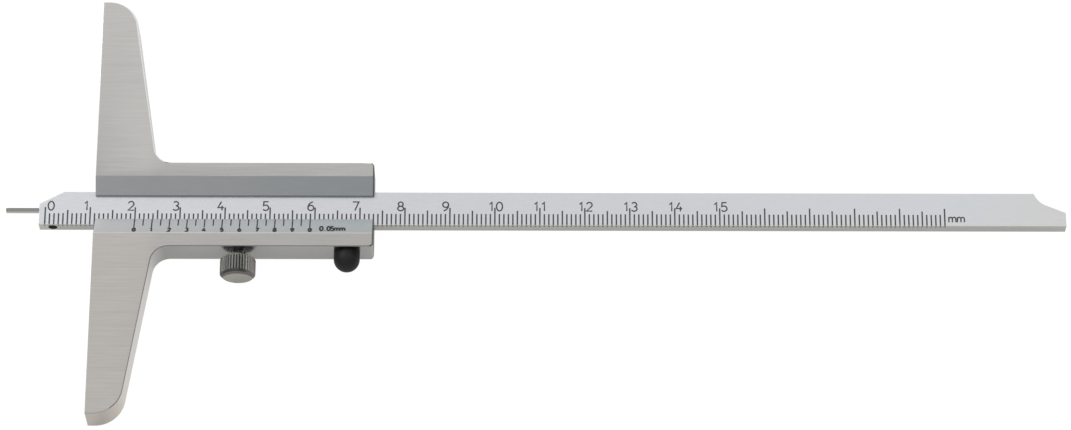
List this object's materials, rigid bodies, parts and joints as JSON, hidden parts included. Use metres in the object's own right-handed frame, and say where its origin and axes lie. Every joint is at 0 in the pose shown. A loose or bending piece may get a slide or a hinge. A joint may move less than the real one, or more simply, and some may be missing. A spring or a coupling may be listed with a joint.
{
  "type": "vernier depth gauge",
  "caption": "T-shaped vernier depth gauge with a sliding flat beam, a thin measuring pin, a knurled clamp screw and a domed thumb rest.",
  "frame": {"origin": "where the beam's centre line crosses the plane of the measuring face, on the frame's back", "axes": "+X along the beam, from the measuring face towards the slider's end; +Y across the beam, towards the rail without the clamp screw; +Z from the frame's back to its graduated front"},
  "size_m": [0.2359, 0.1, 0.0079],
  "materials": {
    "frame_steel": "stainless steel, brushed along the beam, edges lightly broken",
    "beam_satin_chrome": "stainless steel with a satin chrome face and dark engraved graduations",
    "pin_steel": "hardened steel, ground",
    "black_steel": "black oxide",
    "knurled_steel": "turned and straight knurled steel, bright end faces",
    "shoe_brass": "turned brass",
    "spring_bronze": "rolled phosphor bronze strip",
    "black_plastic": "black moulded plastic, slightly glossy"
  },
  "bodies": {
    "frame": {"frame": "frame_steel", "leaf_spring": "spring_bronze", "thumb_rest": "black_plastic"},
    "beam": {"beam": "beam_satin_chrome", "measuring_pin": "pin_steel", "pin_set_screw": "black_steel"},
    "clamp_shoe": {"clamp_shoe": "shoe_brass"},
    "clamp_screw": {"clamp_screw": "knurled_steel"}
  },
  "joints": [
    {"name": "beam_slide", "type": "slide", "parent": "frame", "child": "beam", "axis": [-1, 0, 0], "range_m": [-0.02, 0.13]},
    {"name": "clamp_shoe_slide", "type": "slide", "parent": "frame", "child": "clamp_shoe", "axis": [0, 1, 0], "range_m": [-0.001, 0.00008]},
    {"name": "clamp_screw_turn", "type": "hinge", "parent": "clamp_shoe", "child": "clamp_screw", "pos_m": [0.032, -0.01375, 0.00353], "axis": [0, 1, 0], "range_deg": [-721, 58]}
  ],
  "couplings": [
    {"joint": "clamp_screw_turn", "follows": "clamp_shoe_slide", "rad_per_m": 12566}
  ]
}
